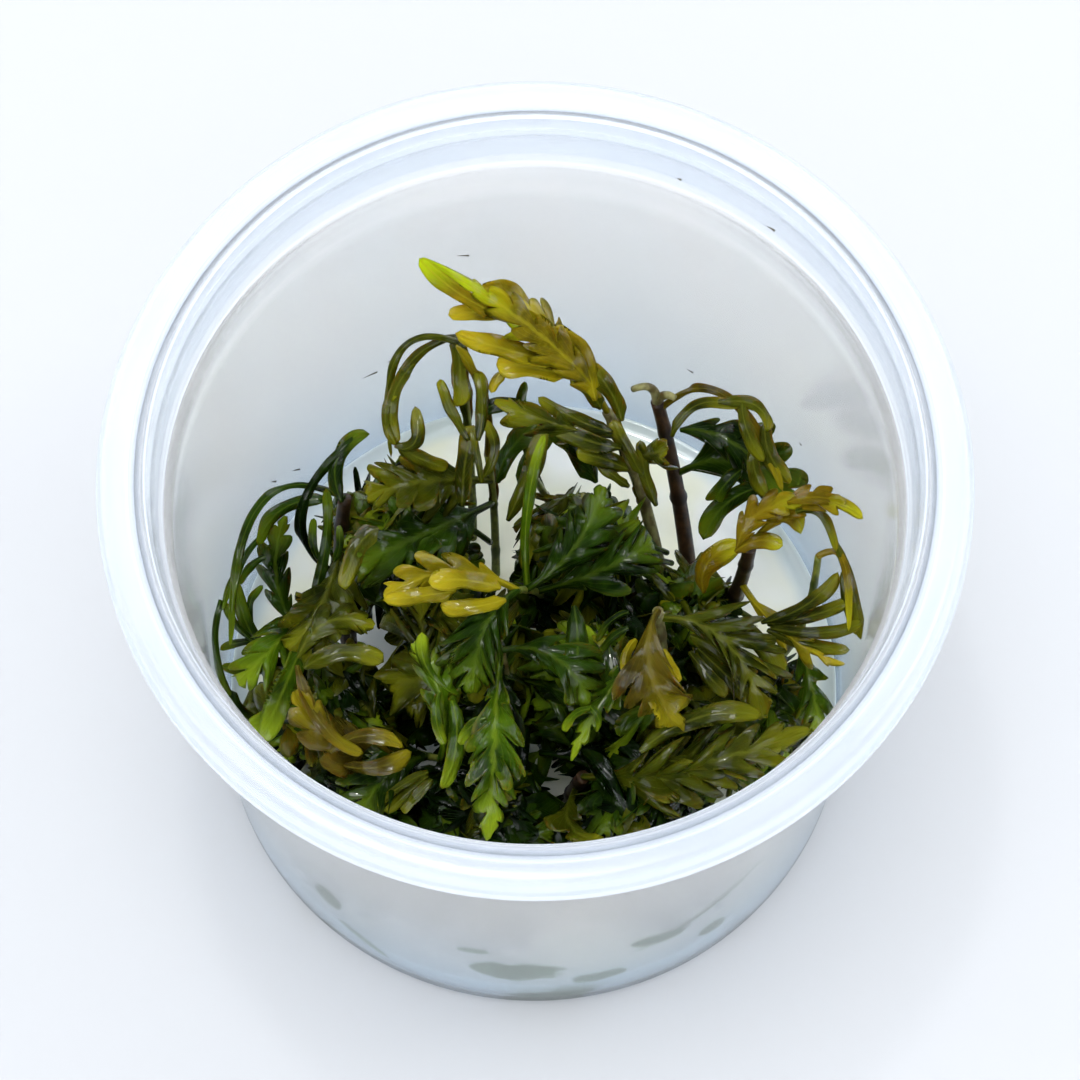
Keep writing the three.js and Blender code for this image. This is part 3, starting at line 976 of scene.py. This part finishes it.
# Flecks. Dark crumbs of dead leaf and root that stuck to the wet wall above
# the plants, each by its place round the wall, height, length and tilt.
FLECKS = (
    (103, 52, 1.5, 20),
    (67, 76, 0.5, 0),
    (50, 76.5, 1.1, -15),
    (147, 23, 1.6, 60),
    (141, 19, 1.7, 55),
    (122, 29, 2.0, 10),
    (61, 29, 0.9, 0),
    (118, 30, 0.5, 40),
    (35, 34, 0.5, 0),
)
mesh = bmesh.new()
for place, height, length, tilt in FLECKS:
    wall = inner_wall(height * MM)
    outwards = Vector((math.cos(math.radians(place)), math.sin(math.radians(place)), 0))
    along = Vector((-outwards.y, outwards.x, 0)) * math.cos(math.radians(tilt))
    along.z = math.sin(math.radians(tilt))
    centre = outwards * (wall - 0.0001) + Vector((0, 0, height * MM))
    ends = along * length / 2 * MM
    stalk(mesh, Path(centre - ends, centre + outwards * 0.00005, centre + ends), 0.00014, 0.00004, 8, 6)
crumb = Finish("dead_leaf_crumb", Roughness=0.7)
crumb.feed(Base_Color=crumb.blend(crumb.spots(0.0006), shade(52, 46, 34), shade(96, 90, 70)))
flecks = lay("wall_flecks", finish_mesh(mesh), crumb)
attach(flecks, "root")


# Light. A white tent round the table: one broad soft lamp overhead, a small
# one for the glints on the wet leaves, a weak one at each side, and the white
# surround, which is darkest straight above.
UNDER_LAMPS = Vector((0, 0, 0.03))


def lamp(name, place, size, power):
    made = bpy.data.lights.new(name, "AREA")
    made.shape = "SQUARE"
    made.size = size
    made.energy = power
    held = bpy.data.objects.new(name, made)
    bpy.context.collection.objects.link(held)
    reach = UNDER_LAMPS - Vector(place)
    held.matrix_world = Matrix.Translation(place) @ reach.to_track_quat("-Z", "Y").to_matrix().to_4x4()


lamp("sky", (-0.08, -0.1, 1.1), 0.4, 3.5)
lamp("spark", (-0.1, 0.12, 1.1), 0.05, 0.9)
lamp("fill", (-0.45, 0.0, 0.8), 0.2, 0.35)
lamp("far fill", (0.45, 0.1, 0.8), 0.2, 0.9)
surround = bpy.data.worlds.new("surround")
surround.use_nodes = True
tree = surround.node_tree
tree.nodes["Background"].inputs["Color"].default_value = shade(249, 251, 255)
looking = tree.nodes.new("ShaderNodeTexCoord")
parts = tree.nodes.new("ShaderNodeSeparateXYZ")
tree.links.new(looking.outputs["Generated"], parts.inputs[0])
upward = Term(tree, parts.outputs["Z"])
glow = 3.3 - upward.ramp(0.15, 0.95) * 2.5
tree.links.new(glow.socket, tree.nodes["Background"].inputs["Strength"])
bpy.context.scene.world = surround
bpy.context.scene.view_settings.view_transform = "Standard"
